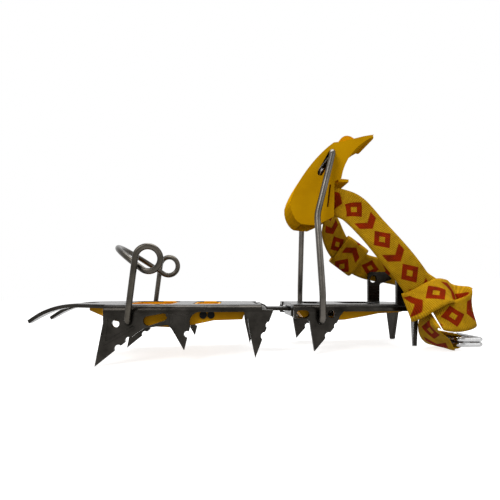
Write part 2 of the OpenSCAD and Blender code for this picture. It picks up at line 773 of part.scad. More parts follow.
// Heel bail: hook, leg that leans in, knee and a crossbar through the lever
heel_bend_r = 4.6;
heel_sweep_r = 30;
heel_leg_y = heel_y(heel_pivot_x) + 0.2 + side_gap + heel_bend_r;
heel_foot = [heel_pivot_x, -heel_leg_y, -heel_pivot_depth];
heel_lean = [heel_pivot_x, -heel_leg_y, heel_leg_z];
heel_knee = [heel_pivot_x - 1, -heel_knee_y, heel_knee_z];
heel_top = [lever_pivot_x, -(lever_half_w + side_gap + heel_bend_r), lever_pivot_z];
heel_d0 = [0, -1, 0];
heel_d1 = [0, 0, 1];
heel_d2 = unit(heel_knee - heel_lean);
heel_d3 = unit(heel_top - heel_knee);
heel_d4 = [0, 1, 0];
heel_cut1 = corner_cut(heel_sweep_r, heel_d1, heel_d2);
heel_cut2 = corner_cut(heel_sweep_r, heel_d2, heel_d3);
heel_cut3 = corner_cut(heel_bend_r, heel_d3, heel_d4);
heel_hook_in = 4.5;
heel_start = [[heel_pivot_x, -(heel_y(heel_pivot_x) - sheet_t - heel_hook_in), -heel_pivot_depth], heel_d0];
heel_steps = [
    [sheet_t + heel_hook_in + 0.2 + side_gap],
    [heel_bend_r, heel_d1, 90],
    [norm(heel_lean - heel_foot) - heel_bend_r - heel_cut1],
    [heel_sweep_r, heel_d2, turn_angle(heel_d1, heel_d2)],
    [norm(heel_knee - heel_lean) - heel_cut1 - heel_cut2],
    [heel_sweep_r, heel_d3, turn_angle(heel_d2, heel_d3)],
    [norm(heel_top - heel_knee) - heel_cut2 - heel_cut3],
    [heel_bend_r, heel_d4, turn_angle(heel_d3, heel_d4)],
    [-heel_top[1] - heel_cut3]];

module heel_bail() {
    color(wire_grey) stance() {
        both_sides() wire(heel_start, heel_steps, heel_r);
        translate([lever_pivot_x, 0, lever_pivot_z]) sphere(heel_r + weld_bead);
    }
}

// Heel lever: two cheeks joined by a beak, a back wall and a shelf over the strap
lever_at = [lever_pivot_x, lever_pivot_z];
lever_slot_end = lever_at + lever_slot_l * unit([-10.3, -18.4]);

function lever_outline() = concat(
    bezier([36, 15.6], [24, 14.6], [14, 9.8], [2.1, 9.1], 8),
    bezier([2.1, 9.1], [-14, -2], [-31, -26], [-34.5, -40.3], 10),
    bezier([-34.5, -40.3], [-35.4, -49], [-31, -57.4], [-25.7, -59.9], 6),
    [[-20, -60.6], [-13, -61], [-4, -57], [2.2, -53.6], [2.7, -24], [8.5, -21.2]],
    bezier([8.5, -21.2], [11, -5], [21, 7], [34.1, 13.3], 8));

module lever_view() {
    translate(lever_at) polygon(lever_outline());
}

module heel_lever() {
    inner = lever_half_w - cheek_t;
    color(yellow) stance() {
        both_sides() side_slab(inner, lever_half_w) difference() {
            lever_view();
            round_slot(lever_at, lever_slot_end, heel_r + run_gap, heel_r + run_gap);
            round_slot(lever_at + [-0.9, -27.3], lever_at + [-3, -45], 0.8, 0.8);
        }
        side_slab(-inner - 0.5, inner + 0.5) {
            intersection() {
                lever_view();
                translate(lever_at) polygon([[7.6, -24], [60, -24], [60, 30], [9.6, 30], [7.6, 8]]);
            }
            translate(lever_at) polygon([[-9.5, -59.2], [-4.7, -57.2], [-4.7, -24.3],
                [8.8, -24.3], [8.8, -21.5], [-8.5, -21.5]]);
            difference() {
                lever_view();
                translate([2.8, -1.7]) lever_view();
            }
        }
        translate([lever_pivot_x, 0, lever_pivot_z]) {
            side_slab(-lever_half_w, lever_half_w)
                polygon([[6, -24.3], [14.6, -24.6], [14.6, -22.4], [6, -21.5]]);
            side_slab(-6, 6)
                polygon(concat([[8, 8]], bezier([8, 9], [10, 20], [18, 24], [27, 13.5], 8), [[27, 11]]));
        }
    }
}

// Webbing drawn as a flat ribbon through stations of [place, width direction]
function place(list, i) = list[max(0, min(len(list) - 1, i))];
function ribbon_points(list, n) = concat(
    [for (i = [0 : len(list) - 2]) for (k = [0 : n - 1])
        [for (c = [0, 1])
            spline(place(list, i - 1)[c], list[i][c], list[i + 1][c], place(list, i + 2)[c], k / n)]],
    [list[len(list) - 1]]);

module ribbon(list, n) {
    path = ribbon_points(list, n);
    last = len(path) - 1;
    corners = [for (i = [0 : last])
        let (t = unit(place(path, i + 1)[0] - place(path, i - 1)[0]),
            w = square_to(t, path[i][1]) * strap_w / 2,
            h = cross(t, unit(w)) * strap_t / 2)
        for (s = [[1, 1], [-1, 1], [-1, -1], [1, -1]]) path[i][0] + s[0] * w + s[1] * h];
    sides = [for (i = [0 : last - 1], k = [0 : 3])
        let (a = 4 * i + k, b = 4 * i + (k + 1) % 4)
        each [[a, b, a + 4], [b, b + 4, a + 4]]];
    end = 4 * last;
    ends = [[0, 2, 1], [0, 3, 2], [end, end + 1, end + 2], [end, end + 2, end + 3]];
    polyhedron(corners, concat(sides, ends));
}

// Stations whose y is given outwards from the outer face of an ear
function off_ear(list, side) =
    [for (s = list) [[s[0][0], side * (ear_y + s[0][1]), s[0][2]], s[1]]];

down = [0, 0, -1];
slope = [-0.6, 0, -0.8];
lean = [-0.82, 0, -0.57];
lever_back_x = lever_pivot_x - 4.7 + side_gap + strap_t / 2;
near_route = concat([
    [[lever_back_x, -0.3, 88], down], [[lever_back_x + 0.8, -7, 88], down],
    [[lever_back_x + 5, -11.2, 87.6], down], [[lever_back_x + 11, -13.2, 86], [-0.2, 0, -1]],
    [[104, -20, 79], [-0.5, 0, -0.87]], [[117, -27, 61.5], [-0.77, -0.1, -0.64]]],
    off_ear([[[130, 2.2, 43], lean], [[139, 4.7, 30.5], lean],
        [[147, 5.3, 19], lean], [[152, 5.1, 11.5], lean]], -1));
far_route = concat([
    [[lever_back_x + 0.8, 0.3, 88], down], [[lever_back_x + 1.8, 6.4, 87.6], down],
    [[lever_back_x + 6.5, 10.9, 84.5], down], [[lever_back_x + 10.8, 14.2, 80], [-0.15, 0, -1]],
    [[97.2, 19.5, 70], [-0.45, 0, -0.89]], [[101.5, 24, 61], slope]],
    off_ear([[[107.5, -2.9, 52.1], slope], [[114, -2.1, 47.2], slope], [[121, -1.7, 42], slope]], 1));
heel_run_route = concat(
    off_ear([[[112, 0.9, 48.7], slope], [[118, 1.1, 44.2], slope],
        [[125, 1.5, 39], [-0.57, 0, -0.82]], [[132, 2.1, 35.2], [-0.28, 0, -0.96]],
        [[141, 2.7, 32.5], down], [[153, 3.1, 30.5], down], [[164, -0.3, 28], down]], 1),
    [[[171, 18, 24], down], [[173, 2, 18], down], [[171.5, -14, 12], down], [[170.5, -25, 8.2], down]]);

// Band around the lower end of the far strand
band_at = [117.5, ear_y - 0.25, 44.6];
band_across = unit(slope);
band_long = unit([0.8, 0, -0.6]);
band_r = 4.65;
band_run = strap_w / 2 - 1.4;
function band_place(p) = [band_at + band_across * p[0] + [0, 1, 0] * p[1], band_long];
band_route = concat(
    [for (x = [0.4, 5, band_run]) band_place([x, band_r])],
    [for (a = [60 : -30 : -60]) band_place([band_run + band_r * cos(a), band_r * sin(a)])],
    [for (x = [band_run, 5, 0, -5, -band_run]) band_place([x, -band_r])],
    [for (a = [-120 : -30 : -240]) band_place([-band_run + band_r * cos(a), band_r * sin(a)])],
    [for (x = [-band_run, -5, -0.6]) band_place([x, band_r])]);

// Free end of the strap, folded to and fro beside the heel
tail_route = off_ear([
    [[137.5, 11.7, -2.2], [0.39, -0.62, -0.68]], [[141.5, 14.3, -0.2], [0.39, -0.66, -0.64]],
    [[148, 15.7, 3.6], [0.39, -0.69, -0.61]], [[160, 16.1, 8.5], [0.36, -0.62, -0.7]],
    [[170, 12.2, 5.5], [0.3, -0.5, -0.81]], [[180, 3.7, 3.5], [0.22, -0.3, -0.93]],
    [[189, -2.8, 0.5], [0.3, -0.33, -0.89]], [[195, -3.8, -2.5], [0.4, -0.42, -0.81]],
    [[198.5, 3.2, -6], [0.42, -0.6, -0.68]], [[194.5, 12.5, -10.5], [0.2, -0.78, -0.6]],
    [[186, 18.5, -12.5], [-0.05, -0.8, -0.6]], [[176, 20, -10], [-0.2, -0.78, -0.6]],
    [[168, 20, -6.5], [-0.22, -0.78, -0.59]], [[161.6, 19.8, -5.1], [-0.15, -0.83, -0.54]]], -1);

// Rings, and the end of the strap that is looped round their front bars
ring_at = [181, -5.7 - ear_y, -25.6];
ring_half = [9, strap_w / 2 + 3];
ring_corner = 4;
ring_r = ring_wire_d / 2;
ring_pitch = ring_wire_d + side_gap;
loop_bar_x = ring_at[0] - ring_half[0];
loop_top = ring_at[2] + ring_r + side_gap + 0.3 + strap_t / 2;
loop_low = ring_at[2] - ring_pitch - ring_r - side_gap - 0.3 - strap_t / 2;
loop_mid = (loop_top + loop_low) / 2;
loop_out = (loop_top - loop_low) / 2;
across = [0, -1, 0];
loop_route = concat(
    off_ear([[[160.4, 19.8, -4.9], [-0.15, -0.83, -0.54]], [[158.4, 19.6, -4.9], [-0.12, -0.85, -0.5]],
        [[155.6, 18.8, -7.6], [0.16, -0.9, -0.4]], [[155.8, 17, -13.5], [0.4, -0.87, -0.28]],
        [[158.5, 14.2, -21], [0.52, -0.85, -0.08]], [[162.4, 9.8, -28.6], [0.4, -0.91, 0]],
        [[166.6, 6.2, -32.8], [0.15, -0.98, 0]]], -1),
    [for (a = [-90 : 22.5 : 90])
        [[loop_bar_x + loop_out * cos(a), ring_at[1], loop_mid + loop_out * sin(a)], across]],
    [[[loop_bar_x - 4.5, ring_at[1], loop_top], across]]);

module strap_near_strand() {
    color(webbing) stance() ribbon(near_route, 4);
}

module strap_far_strand() {
    color(webbing) stance() ribbon(far_route, 4);
}

module strap_heel_run() {
    color(webbing) stance() ribbon(heel_run_route, 4);
}

module strap_far_band() {
    color(webbing) stance() ribbon(band_route, 2);
}

module strap_tail_fold() {
    color(webbing) stance() ribbon(tail_route, 4);
}

module strap_buckle_loop() {
    color(webbing) stance() ribbon(loop_route, 2);
}

// A ring with straight sides, closed from four runs and four bends
module ring(z) {
    run_x = ring_half[0] - ring_corner;
    run_y = ring_half[1] - ring_corner;
    start = [[ring_at[0] - ring_half[0], ring_at[1] - run_y, z], [0, 1, 0]];
    wire(start, [[2 * run_y], [ring_corner, [1, 0, 0], 90], [2 * run_x], [ring_corner, [0, -1, 0], 90],
        [2 * run_y], [ring_corner, [-1, 0, 0], 90], [2 * run_x], [ring_corner, [0, 1, 0], 90]], ring_r);
}

module buckle_ring_upper() {
    color("#b8b8b6") stance() ring(ring_at[2]);
}

module buckle_ring_lower() {
    color("#b8b8b6") stance() ring(ring_at[2] - ring_pitch);
}

front_frame();
front_anti_balling_plate();
plate_studs();
link_pin();
toe_bail();
link_bar();
heel_frame();
heel_anti_balling_plate();
adjuster_spring();
adjuster_rivets();
heel_bail();
heel_lever();
strap_near_strand();
strap_far_strand();
strap_heel_run();
strap_far_band();
strap_tail_fold();
strap_buckle_loop();
buckle_ring_upper();
buckle_ring_lower();
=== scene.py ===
"""Looks of the twelve-point crampon: steel, wire and plastic finishes, and the woven strap.

Places are in millimetres in the boot-sole frame (x towards the heel, y towards the far side,
z up from the sole) until row() turns them into the row frame in metres.
"""

import math

import bmesh
import bpy
from mathutils import Matrix, Vector


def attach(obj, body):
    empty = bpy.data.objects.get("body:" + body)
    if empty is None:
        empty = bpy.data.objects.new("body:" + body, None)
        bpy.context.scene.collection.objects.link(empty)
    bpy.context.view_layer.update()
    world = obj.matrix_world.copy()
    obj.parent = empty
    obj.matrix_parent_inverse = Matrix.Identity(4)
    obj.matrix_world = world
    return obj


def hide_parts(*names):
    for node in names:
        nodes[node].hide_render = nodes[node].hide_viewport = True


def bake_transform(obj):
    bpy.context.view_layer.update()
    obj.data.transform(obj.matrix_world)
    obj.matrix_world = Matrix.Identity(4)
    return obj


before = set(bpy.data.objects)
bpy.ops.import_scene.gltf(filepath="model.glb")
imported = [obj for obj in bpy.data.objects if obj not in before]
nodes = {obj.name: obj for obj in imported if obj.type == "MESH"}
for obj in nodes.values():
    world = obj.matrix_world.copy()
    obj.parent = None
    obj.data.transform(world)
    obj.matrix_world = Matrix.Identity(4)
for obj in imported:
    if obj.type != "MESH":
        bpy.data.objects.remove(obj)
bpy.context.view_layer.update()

MM = 0.001
STANCE = Matrix.Rotation(math.radians(2.65), 3, "Y")
FLOOR_Z = -0.04278


def row(x, y, z):
    """A place in the boot-sole frame in millimetres, as a row-frame place in metres."""
    return STANCE @ Vector((x * MM, y * MM, z * MM))


def add_object(name, data):
    made = bpy.data.objects.new(name, data)
    bpy.context.collection.objects.link(made)
    return made


def add_mesh(name, mesh, material):
    """An object made from a bmesh, which is freed."""
    bmesh.ops.recalc_face_normals(mesh, faces=mesh.faces)
    data = bpy.data.meshes.new(name)
    mesh.to_mesh(data)
    mesh.free()
    data.materials.append(material)
    return add_object(name, data)


# ---- Materials

NOISE_LOW, NOISE_HIGH = 0.3, 0.7  # most of a noise value lies between these
NOISE_ROUGH = 0.55
BEVEL_SAMPLES = 6


class Finish:
    """A material with a few node helpers."""

    def __init__(self, name):
        self.material = bpy.data.materials.new(name)
        self.material.use_nodes = True
        self.tree = self.material.node_tree
        self.shader = self.tree.nodes["Principled BSDF"]
        self.coord = self.node("ShaderNodeTexCoord")

    def node(self, kind, **settings):
        made = self.tree.nodes.new(kind)
        for key, value in settings.items():
            setattr(made, key, value)
        return made

    def feed(self, socket, value):
        """Sets a number or a colour on a socket, or links an output to it."""
        if isinstance(value, (int, float)):
            socket.default_value = value
        elif isinstance(value, tuple):
            socket.default_value = (*value, 1.0)
        else:
            self.tree.links.new(value, socket)

    def noise(self, scale, detail, stretch=None):
        """Noise in object space, in cells to the metre; stretch scales each axis."""
        tex = self.node("ShaderNodeTexNoise")
        self.feed(tex.inputs["Scale"], scale)
        self.feed(tex.inputs["Detail"], detail)
        self.feed(tex.inputs["Roughness"], NOISE_ROUGH)
        source = self.coord.outputs["Object"]
        if stretch:
            place = self.node("ShaderNodeMapping")
            place.inputs["Scale"].default_value = stretch
            self.feed(place.inputs["Vector"], source)
            source = place.outputs["Vector"]
        self.feed(tex.inputs["Vector"], source)
        return tex.outputs["Fac"]

    def ramp(self, value, dark, light, low=NOISE_LOW, high=NOISE_HIGH):
        made = self.node("ShaderNodeValToRGB")
        stops = ((low, dark), (high, light))
        for point, (place, colour) in zip(made.color_ramp.elements, stops):
            point.position = place
            point.color = (*colour, 1.0)
        self.feed(made.inputs["Fac"], value)
        return made.outputs["Color"]

    def spread(self, value, low, high):
        """A noise value mapped to the span from low to high."""
        made = self.node("ShaderNodeMapRange")
        self.feed(made.inputs["From Min"], NOISE_LOW)
        self.feed(made.inputs["From Max"], NOISE_HIGH)
        self.feed(made.inputs["To Min"], low)
        self.feed(made.inputs["To Max"], high)
        self.feed(made.inputs["Value"], value)
        return made.outputs["Result"]

    def math(self, kind, *values):
        made = self.node("ShaderNodeMath", operation=kind)
        for socket, value in zip(made.inputs, values):
            self.feed(socket, value)
        return made.outputs["Value"]

    def mix(self, factor, a, b, blend="MIX"):
        made = self.node("ShaderNodeMix", data_type="RGBA", blend_type=blend)
        for index, value in ((0, factor), (6, a), (7, b)):  # the sockets of a colour mix
            self.feed(made.inputs[index], value)
        return made.outputs[2]

    def bump(self, height, strength, distance, edge=0.0, flat=False):
        """Bump on normals rounded over edge metres, on flat faces, or on the mesh's own."""
        made = self.node("ShaderNodeBump")
        self.feed(made.inputs["Strength"], strength)
        self.feed(made.inputs["Distance"], distance)
        self.feed(made.inputs["Height"], height)
        if edge:
            soft = self.node("ShaderNodeBevel", samples=BEVEL_SAMPLES)
            self.feed(soft.inputs["Radius"], edge)
            self.feed(made.inputs["Normal"], soft.outputs["Normal"])
        if flat:
            face = self.node("ShaderNodeNewGeometry")
            self.feed(made.inputs["Normal"], face.outputs["True Normal"])
        self.feed(self.shader.inputs["Normal"], made.outputs["Normal"])

    def set(self, **values):
        for key, value in values.items():
            self.feed(self.shader.inputs[key.replace("_", " ")], value)
        return self.material


def steel(name, dark, light, rough, grain, edge=0.0, streak=None):
    """Metal with a cloudy tone, fine grain, uneven roughness and softened edges."""
    f = Finish(name)
    tone = f.ramp(f.noise(70, 5), dark, light)
    roughness = f.spread(f.noise(240, 3, streak), *rough)
    f.bump(f.noise(900, 2), grain, 0.0004, edge)
    return f.set(Base_Color=tone, Metallic=1.0, Roughness=roughness)


def plastic(name, dark, light, rough, edge=0.0, sheen=0.02):
    """Moulded plastic with a slight tone change and a fine surface."""
    f = Finish(name)
    tone = f.ramp(f.noise(45, 3), dark, light)
    roughness = f.spread(f.noise(400, 3), *rough)
    f.bump(f.noise(1500, 2), 0.08, 0.0003, edge, flat=not edge)
    return f.set(Base_Color=tone, Roughness=roughness, Specular_IOR_Level=sheen)


PATTERN_STEP = 0.034  # metres from one lozenge to the next
RIB_STEP = 0.0013  # metres from one rib of the weave to the next
YARNS = 18  # across the strap
MARK_HALF = 0.36  # half the marks' reach across the strap, as a share of its width
LOZENGE_AT, LOZENGE_HALF = 0.3, 0.28  # shares of the pattern step


def webbing(name):
    """Woven yellow strap with red lozenges and chevrons, with painted shade in the grooves of
    its weave; U is metres along it, V across it.
    """
    f = Finish(name)
    split = f.node("ShaderNodeSeparateXYZ")
    f.feed(split.inputs[0], f.coord.outputs["UV"])
    along, across = split.outputs[0], split.outputs[1]

    def band(value, low, high, edge):
        """1 inside the span from low to high and 0 outside it, with edges of that width."""
        up = f.math("MULTIPLY_ADD", value, 1 / edge, -low / edge)
        down = f.math("MULTIPLY_ADD", value, -1 / edge, high / edge)
        return f.math("MINIMUM", f.math("MAXIMUM", f.math("MINIMUM", up, down), 0.0), 1.0)

    step = f.math("FRACT", f.math("DIVIDE", along, PATTERN_STEP))
    off = f.math("ABSOLUTE", f.math("SUBTRACT", across, 0.5))
    from_lozenge = f.math("ABSOLUTE", f.math("SUBTRACT", step, LOZENGE_AT))
    lozenge = f.math(
        "ADD",
        f.math("MULTIPLY", off, 1 / MARK_HALF),
        f.math("MULTIPLY", from_lozenge, 1 / LOZENGE_HALF),
    )
    chevron = f.math("ADD", step, f.math("MULTIPLY", off, 0.5))
    chevrons = f.math(
        "MULTIPLY", band(chevron, 0.75, 0.98, 0.03), band(off, -1.0, MARK_HALF, 0.03)
    )
    marks = f.math("MAXIMUM", band(lozenge, 0.32, 1.0, 0.06), chevrons)

    ribs = f.math("SINE", f.math("MULTIPLY", along, 2 * math.pi / RIB_STEP))
    yarns = f.math("SINE", f.math("MULTIPLY", across, 2 * math.pi * YARNS))
    crossed = f.math("MULTIPLY", ribs, yarns)
    weave = f.math("MULTIPLY_ADD", crossed, 0.35, f.math("MULTIPLY", ribs, 0.65))

    cloud = f.noise(160, 4)
    yellow = f.ramp(cloud, (0.5, 0.255, 0.004), (0.7, 0.38, 0.009))
    red = f.ramp(cloud, (0.19, 0.003, 0.0005), (0.4, 0.008, 0.001))
    fray = f.math("MULTIPLY_ADD", weave, 0.06, 0.94)
    tone = f.mix(f.math("MULTIPLY", marks, fray), yellow, red)
    # Painted shade: the colour is multiplied down to 0.62 in the weave's grooves and left as it
    # is on the ribs.
    depth = f.math("MULTIPLY_ADD", weave, 0.5, 0.5)
    painted_groove_shade = f.ramp(depth, (0.62, 0.62, 0.62), (1.0, 1.0, 1.0), low=0.0, high=0.8)
    f.bump(weave, 0.6, 0.0005)
    return f.set(
        Base_Color=f.mix(1.0, tone, painted_groove_shade, "MULTIPLY"),
        Roughness=f.spread(cloud, 0.7, 0.85),
        Specular_IOR_Level=0.03,
    )


FRAME_STEEL = steel(
    "frame_steel", (0.011, 0.01, 0.0085), (0.033, 0.03, 0.026), (0.2, 0.32),
    grain=0.08, edge=0.001, streak=(0.3, 1, 3),
)
HEEL_WIRE = steel(
    "heel_bail_wire", (0.06, 0.055, 0.048), (0.11, 0.1, 0.088), (0.26, 0.36), grain=0.004
)
TOE_WIRE = steel(
    "toe_bail_wire", (0.038, 0.034, 0.028), (0.075, 0.067, 0.055), (0.24, 0.34), grain=0.004
)
BRIGHT = steel(
    "bright_steel", (0.24, 0.235, 0.23), (0.4, 0.39, 0.38), (0.22, 0.36), grain=0.03, edge=0.0003
)
RING = steel("ring_steel", (0.3, 0.3, 0.3), (0.5, 0.5, 0.5), (0.12, 0.22), grain=0.02)
PLATE = plastic(
    "plate_plastic", (0.62, 0.27, 0.003), (0.76, 0.36, 0.005), (0.36, 0.5), edge=0.0006
)
# No sheen on the lever: its grazing faces would mirror the white surroundings.
LEVER = plastic(
    "lever_plastic", (0.64, 0.305, 0.002), (0.75, 0.38, 0.003), (0.34, 0.46), sheen=0.0
)
BLACK = plastic(
    "stud_plastic", (0.008, 0.008, 0.008), (0.02, 0.02, 0.02), (0.3, 0.45), edge=0.0004
)
WEBBING = webbing("strap_webbing")

NODE_FINISH = {
    "front_frame": FRAME_STEEL,
    "heel_frame": FRAME_STEEL,
    "link_bar": FRAME_STEEL,
    "link_pin": BRIGHT,
    "adjuster_spring": BRIGHT,
    "adjuster_rivets": BRIGHT,
    "toe_bail": TOE_WIRE,
    "heel_bail": HEEL_WIRE,
    "front_anti_balling_plate": PLATE,
    "heel_anti_balling_plate": PLATE,
    "plate_studs": BLACK,
    "heel_lever": LEVER,
    "buckle_ring_upper": RING,
    "buckle_ring_lower": RING,
    "strap_near_strand": WEBBING,
    "strap_far_strand": WEBBING,
    "strap_heel_run": WEBBING,
    "strap_far_band": WEBBING,
    "strap_tail_fold": WEBBING,
    "strap_buckle_loop": WEBBING,
}
for name, finish in NODE_FINISH.items():
    materials = nodes[name].data.materials
    materials.clear()
    materials.append(finish)


# ---- Strap

STRAP_W = 24.0
STRAP_T = 1.5
STRAP_CELLS = 10  # faces across the strap
SELVEDGE = 0.8  # share of the half width where the strap starts to thin
THINNING = 0.45  # how much of its thickness it loses at the edge


def spline(p0, p1, p2, p3, u):
    """The Catmull-Rom curve from p1 at u = 0 to p2 at u = 1."""
    square = 2 * p0 - 5 * p1 + 4 * p2 - p3
    cube = 3 * p1 - p0 - 3 * p2 + p3
    return 0.5 * (2 * p1 + (p2 - p0) * u + square * u**2 + cube * u**3)


def smooth(stations, n):
    """Stations of (place, width direction), filled in with n steps to each span."""
    last = len(stations) - 1

    def at(i, part):
        return Vector(stations[max(0, min(last, i))][part])

    path = []
    for i in range(last):
        spans = [[at(i + k, part) for k in (-1, 0, 1, 2)] for part in (0, 1)]
        path += [[spline(*span, k / n) for span in spans] for k in range(n)]
    path.append([at(last, 0), at(last, 1)])
    return path


def strap_ring(mesh, path, i):
    """The strap's section at path[i], as pairs of a vertex and its place across the strap."""
    ahead = path[min(i + 1, len(path) - 1)][0] - path[max(i - 1, 0)][0]
    t = ahead.normalized()
    place, wide = path[i]
    w = (wide - t * wide.dot(t)).normalized()
    n = t.cross(w)
    ring = []
    for side in (1, -1):
        for k in range(STRAP_CELLS + 1):
            v = k / STRAP_CELLS if side > 0 else 1 - k / STRAP_CELLS
            edge = max(0.0, abs(2 * v - 1) - SELVEDGE) / (1 - SELVEDGE)
            half = STRAP_T / 2 * (1 - THINNING * edge)
            p = place + w * (v - 0.5) * STRAP_W + n * side * half
            ring.append((mesh.verts.new(row(*p)), v))
    return ring


def strap_piece(name, path, first, last, start_u):
    """The webbing from path[first] to path[last], closed where the path itself ends."""
    mesh = bmesh.new()
    uv = mesh.loops.layers.uv.new("weave")

    def add_face(corners, us):
        face = mesh.faces.new([vert for vert, _ in corners])
        for loop, (_, v), u in zip(face.loops, corners, us):
            loop[uv].uv = (u, v)
        return face

    run = [0.0]
    for (before, _), (after, _) in zip(path, path[1:]):
        run.append(run[-1] + (after - before).length)
    spots = range(first, last + 1)
    rings = [strap_ring(mesh, path, i) for i in spots]
    along = [start_u + run[i] * MM for i in spots]
    count = len(rings[0])
    for i in range(len(rings) - 1):
        here, there = rings[i], rings[i + 1]
        us = (along[i], along[i + 1], along[i + 1], along[i])
        for k in range(count):
            m = (k + 1) % count
            add_face((here[k], there[k], there[m], here[m]), us).smooth = True
    if first == 0:
        add_face(rings[0], [start_u] * count)
    if last == len(path) - 1:
        add_face(rings[-1][::-1], [start_u] * count)
    made = add_mesh(name, mesh, WEBBING)
    return made


# Sizes that the solids share
LEVER_PIVOT_X = 86.7
LEVER_BACK = 4.7  # from the pivot forward to the face that the strap leaves
SIDE_GAP = 0.4
SOLID_HALF_T = 0.8  # half the thickness of the strap's solids
RING_WIRE_R = 1.7
RING_PITCH = 2 * RING_WIRE_R + SIDE_GAP
LOOP_PLAY = 0.3
EAR_Y = 30.3  # outer face of an ear
BACK_X = LEVER_PIVOT_X - LEVER_BACK + SIDE_GAP + SOLID_HALF_T

# Width directions that several stations share
DOWN = (0, 0, -1)
SLOPE = (-0.6, 0, -0.8)
LEAN = (-0.82, 0, -0.57)
ACROSS = (0, -1, 0)


def off_ear(stations, side):
    """Stations whose y is given outwards from the outer face of an ear."""
    return [((x, side * (EAR_Y + y), z), w) for (x, y, z), w in stations]


NEAR = [
    ((BACK_X, -0.3, 88), DOWN),
    ((BACK_X + 0.8, -7, 88), DOWN),
    ((BACK_X + 5, -11.2, 87.6), DOWN),
    ((BACK_X + 11, -13.2, 86), (-0.2, 0, -1)),
    ((104, -20, 79), (-0.5, 0, -0.87)),
    ((117, -27, 61.5), (-0.77, -0.1, -0.64)),
] + off_ear([
    ((130, 2.2, 43), LEAN),
    ((139, 4.7, 30.5), LEAN),
    ((147, 5.3, 19), LEAN),
    ((152, 5.1, 11.5), LEAN),
], -1)
FAR_SEAM = (101.5, 24, 61)
FAR = [
    ((BACK_X + 0.8, 0.3, 88), DOWN),
    ((BACK_X + 1.8, 6.4, 87.6), DOWN),
    ((BACK_X + 6.5, 10.9, 84.5), DOWN),
    ((BACK_X + 10.8, 14.2, 80), (-0.15, 0, -1)),
    ((97.2, 19.5, 70), (-0.45, 0, -0.89)),
    (FAR_SEAM, SLOPE),
] + off_ear([
    ((107.5, -2.9, 52.1), SLOPE),
    ((114, -2.1, 47.2), SLOPE),
    ((121, -1.7, 42), SLOPE),
], 1)
HEEL_RUN = off_ear([
    ((112, 0.9, 48.7), SLOPE),
    ((118, 1.1, 44.2), SLOPE),
    ((125, 1.5, 39), (-0.57, 0, -0.82)),
    ((132, 2.1, 35.2), (-0.28, 0, -0.96)),
    ((141, 2.7, 32.5), DOWN),
    ((153, 3.1, 30.5), DOWN),
    ((164, -0.3, 28), DOWN),
], 1) + [
    ((171, 18, 24), DOWN),
    ((173, 2, 18), DOWN),
    ((171.5, -14, 12), DOWN),
    ((170.5, -25, 8.2), DOWN),
]
# The tail and the buckle loop lie nearer to the photograph than their solids do.
TAIL = off_ear([
    ((137.5, 11.7, -2.2), (0.39, -0.62, -0.68)),
    ((141.5, 14.3, -0.2), (0.39, -0.66, -0.64)),
    ((148, 15.7, 3.6), (0.36, -0.69, -0.63)),
    ((157, 15.8, 8.6), (0.2, -0.7, -0.68)),
    ((165.6, 13.7, 10.9), (0.02, -0.66, -0.75)),
    ((174.5, 8.6, 9.2), (0, -0.55, -0.83)),
    ((181, 3, 6), (0.06, -0.4, -0.91)),
    ((185.8, 5.2, 2.6), (0.12, -0.1, -0.98)),
    ((187.2, 11, -0.8), (0.14, 0, -0.98)),
    ((184.2, 16.6, -3.8), (0.14, -0.1, -0.98)),
    ((178, 20, -6.2), (0.1, -0.25, -0.96)),
    ((170, 21.9, -7.8), (0, -0.34, -0.94)),
    ((161.5, 22.4, -8.4), (-0.1, -0.5, -0.86)),
    ((154.8, 21.6, -9.2), (-0.22, -0.7, -0.68)),
], -1)

# The band goes once round the far strand and the heel run where they meet.
BAND_AT = Vector((117.5, EAR_Y - 0.25, 44.6))
BAND_ACROSS = Vector(SLOPE)
BAND_LONG = (0.8, 0, -0.6)
BAND_R = 4.65
BAND_RUN = STRAP_W / 2 - 1.4


def band_turn(middle, degrees):
    """A rounded end of the band, as places along BAND_ACROSS and out from the strap."""
    angles = [math.radians(a) for a in degrees]
    return [(middle + BAND_R * math.cos(a), BAND_R * math.sin(a)) for a in angles]


BAND_ROUND = (
    [(x, BAND_R) for x in (0.4, 5, BAND_RUN)]
    + band_turn(BAND_RUN, range(60, -61, -30))
    + [(x, -BAND_R) for x in (BAND_RUN, 5, 0, -5, -BAND_RUN)]
    + band_turn(-BAND_RUN, range(-120, -241, -30))
    + [(x, BAND_R) for x in (-BAND_RUN, -5, -0.6)]
)
BAND = [(BAND_AT + BAND_ACROSS * x + Vector((0, y, 0)), BAND_LONG) for x, y in BAND_ROUND]

# The loop comes in under both rings, turns round their bars and lies back on top.
RING_AT = (181, -5.7 - EAR_Y, -25.6)
BAR_X = RING_AT[0] - 9
LOOP_CLEAR = RING_WIRE_R + SIDE_GAP + LOOP_PLAY + SOLID_HALF_T
LOOP_TOP = RING_AT[2] + LOOP_CLEAR
LOOP_LOW = RING_AT[2] - RING_PITCH - LOOP_CLEAR
LOOP_MID = (LOOP_TOP + LOOP_LOW) / 2
LOOP_OUT = (LOOP_TOP - LOOP_LOW) / 2
LOOP_ANGLES = [math.radians(22.5 * i - 90) for i in range(9)]
LOOP = off_ear([
    ((153.4, 21.3, -9.4), (-0.24, -0.73, -0.64)),
    ((151.8, 20.4, -10.6), (-0.2, -0.84, -0.5)),
    ((151.2, 19, -13.5), (0, -0.93, -0.36)),
    ((153.2, 17, -18), (0.25, -0.93, -0.26)),
    ((157, 14, -23.5), (0.42, -0.9, -0.1)),
    ((161.6, 10.2, -29), (0.36, -0.93, 0)),
    ((166.6, 6.2, -32.8), (0.15, -0.98, 0)),
], -1) + [
    ((BAR_X + LOOP_OUT * math.cos(a), RING_AT[1], LOOP_MID + LOOP_OUT * math.sin(a)), ACROSS)
    for a in LOOP_ANGLES
] + [((BAR_X - 4.5, RING_AT[1], LOOP_TOP), ACROSS)]

STRAND_STEPS = 10
FAR_HOLD = (147, EAR_Y + 3, 31.3)


